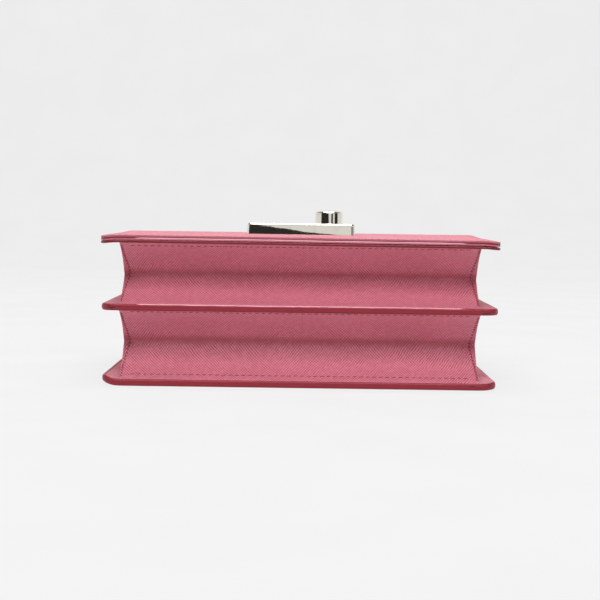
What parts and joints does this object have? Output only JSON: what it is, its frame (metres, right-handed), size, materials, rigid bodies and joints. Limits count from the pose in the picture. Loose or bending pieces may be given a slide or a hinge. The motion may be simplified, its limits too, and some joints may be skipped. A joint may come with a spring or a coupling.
{
  "type": "crossbody purse",
  "caption": "Small rigid-panel flap purse with accordion gussets between its panels, painted edges and a push-button flap lock.",
  "frame": {"origin": "middle of the bag's footprint as it lies on its back, on the outer face of the back panel", "axes": "+X along the bag's width, -Y its underside, +Y its mouth, +Z the flap and lock side"},
  "size_m": [0.1674, 0.12, 0.0743],
  "materials": {
    "outer_leather": "cross-hatched grain with painted raspberry edges",
    "gusset_leather": "cross-hatched grain",
    "lining_leather": "smooth matt",
    "stiffener_board": "pressed fibre board",
    "polished_nickel": "polished light nickel",
    "plate_steel": "brushed, nickel plated",
    "spring_steel": "drawn wire"
  },
  "bodies": {
    "root": {"back_panel_leather": "outer_leather", "back_panel_board": "stiffener_board", "back_panel_lining": "lining_leather", "rear_bottom_gusset": "gusset_leather", "rear_left_gusset": "gusset_leather", "rear_right_gusset": "gusset_leather", "flap_rear_fold": "outer_leather"},
    "divider": {"divider_rear_leather": "outer_leather", "divider_board": "stiffener_board", "divider_front_leather": "outer_leather", "front_bottom_gusset": "gusset_leather", "front_left_gusset": "gusset_leather", "front_right_gusset": "gusset_leather"},
    "front_panel": {"front_panel_lining": "lining_leather", "front_panel_board": "stiffener_board", "front_panel_leather": "outer_leather", "striker_plate": "plate_steel", "striker_rivets": "plate_steel", "striker_post": "polished_nickel"},
    "top_strip": {"top_strip_leather": "outer_leather", "top_strip_lining": "lining_leather", "flap_front_fold": "outer_leather", "strap_eyelet_left": "polished_nickel", "strap_eyelet_right": "polished_nickel", "eyelet_washer_left": "plate_steel", "eyelet_washer_right": "plate_steel"},
    "flap": {"flap_lining": "lining_leather", "flap_board": "stiffener_board", "flap_leather": "outer_leather", "lock_cover": "polished_nickel", "lock_base_plate": "plate_steel", "lock_back_plate": "plate_steel", "lock_screws": "plate_steel", "button_springs": "spring_steel", "bolt_spring": "spring_steel"},
    "button": {"lock_button": "polished_nickel"},
    "bolt": {"latch_bolt": "plate_steel"}
  },
  "joints": [
    {"name": "rear_squeeze", "type": "slide", "parent": "root", "child": "divider", "axis": [0, 0, -1], "range_m": [0, 0.016], "stiffness_N_per_m": 200, "springref_m": -0.012, "deforming": ["rear_bottom_gusset", "rear_left_gusset", "rear_right_gusset"]},
    {"name": "front_squeeze", "type": "slide", "parent": "divider", "child": "front_panel", "axis": [0, 0, -1], "range_m": [0, 0.014], "stiffness_N_per_m": 150, "springref_m": -0.01, "deforming": ["front_bottom_gusset", "front_left_gusset", "front_right_gusset"]},
    {"name": "flap_lift", "type": "hinge", "parent": "root", "child": "top_strip", "pos_m": [0, 0.0564, 0.003], "axis": [-1, 0, 0], "range_deg": [0, 150], "deforming": ["flap_rear_fold"]},
    {"name": "flap_crease", "type": "hinge", "parent": "top_strip", "child": "flap", "pos_m": [0, 0.0564, 0.06], "axis": [-1, 0, 0], "range_deg": [0, 60], "deforming": ["flap_front_fold"]},
    {"name": "button_press", "type": "slide", "parent": "flap", "child": "button", "axis": [0, 0, -1], "range_m": [0, 0.0014], "stiffness_N_per_m": 500, "springref_m": -0.001, "deforming": ["button_springs"]},
    {"name": "bolt_slide", "type": "slide", "parent": "flap", "child": "bolt", "axis": [1, 0, 0], "range_m": [0, 0.0014], "deforming": ["bolt_spring"]}
  ],
  "couplings": [
    {"joint": "bolt_slide", "follows": "button_press", "ratio": 1}
  ]
}
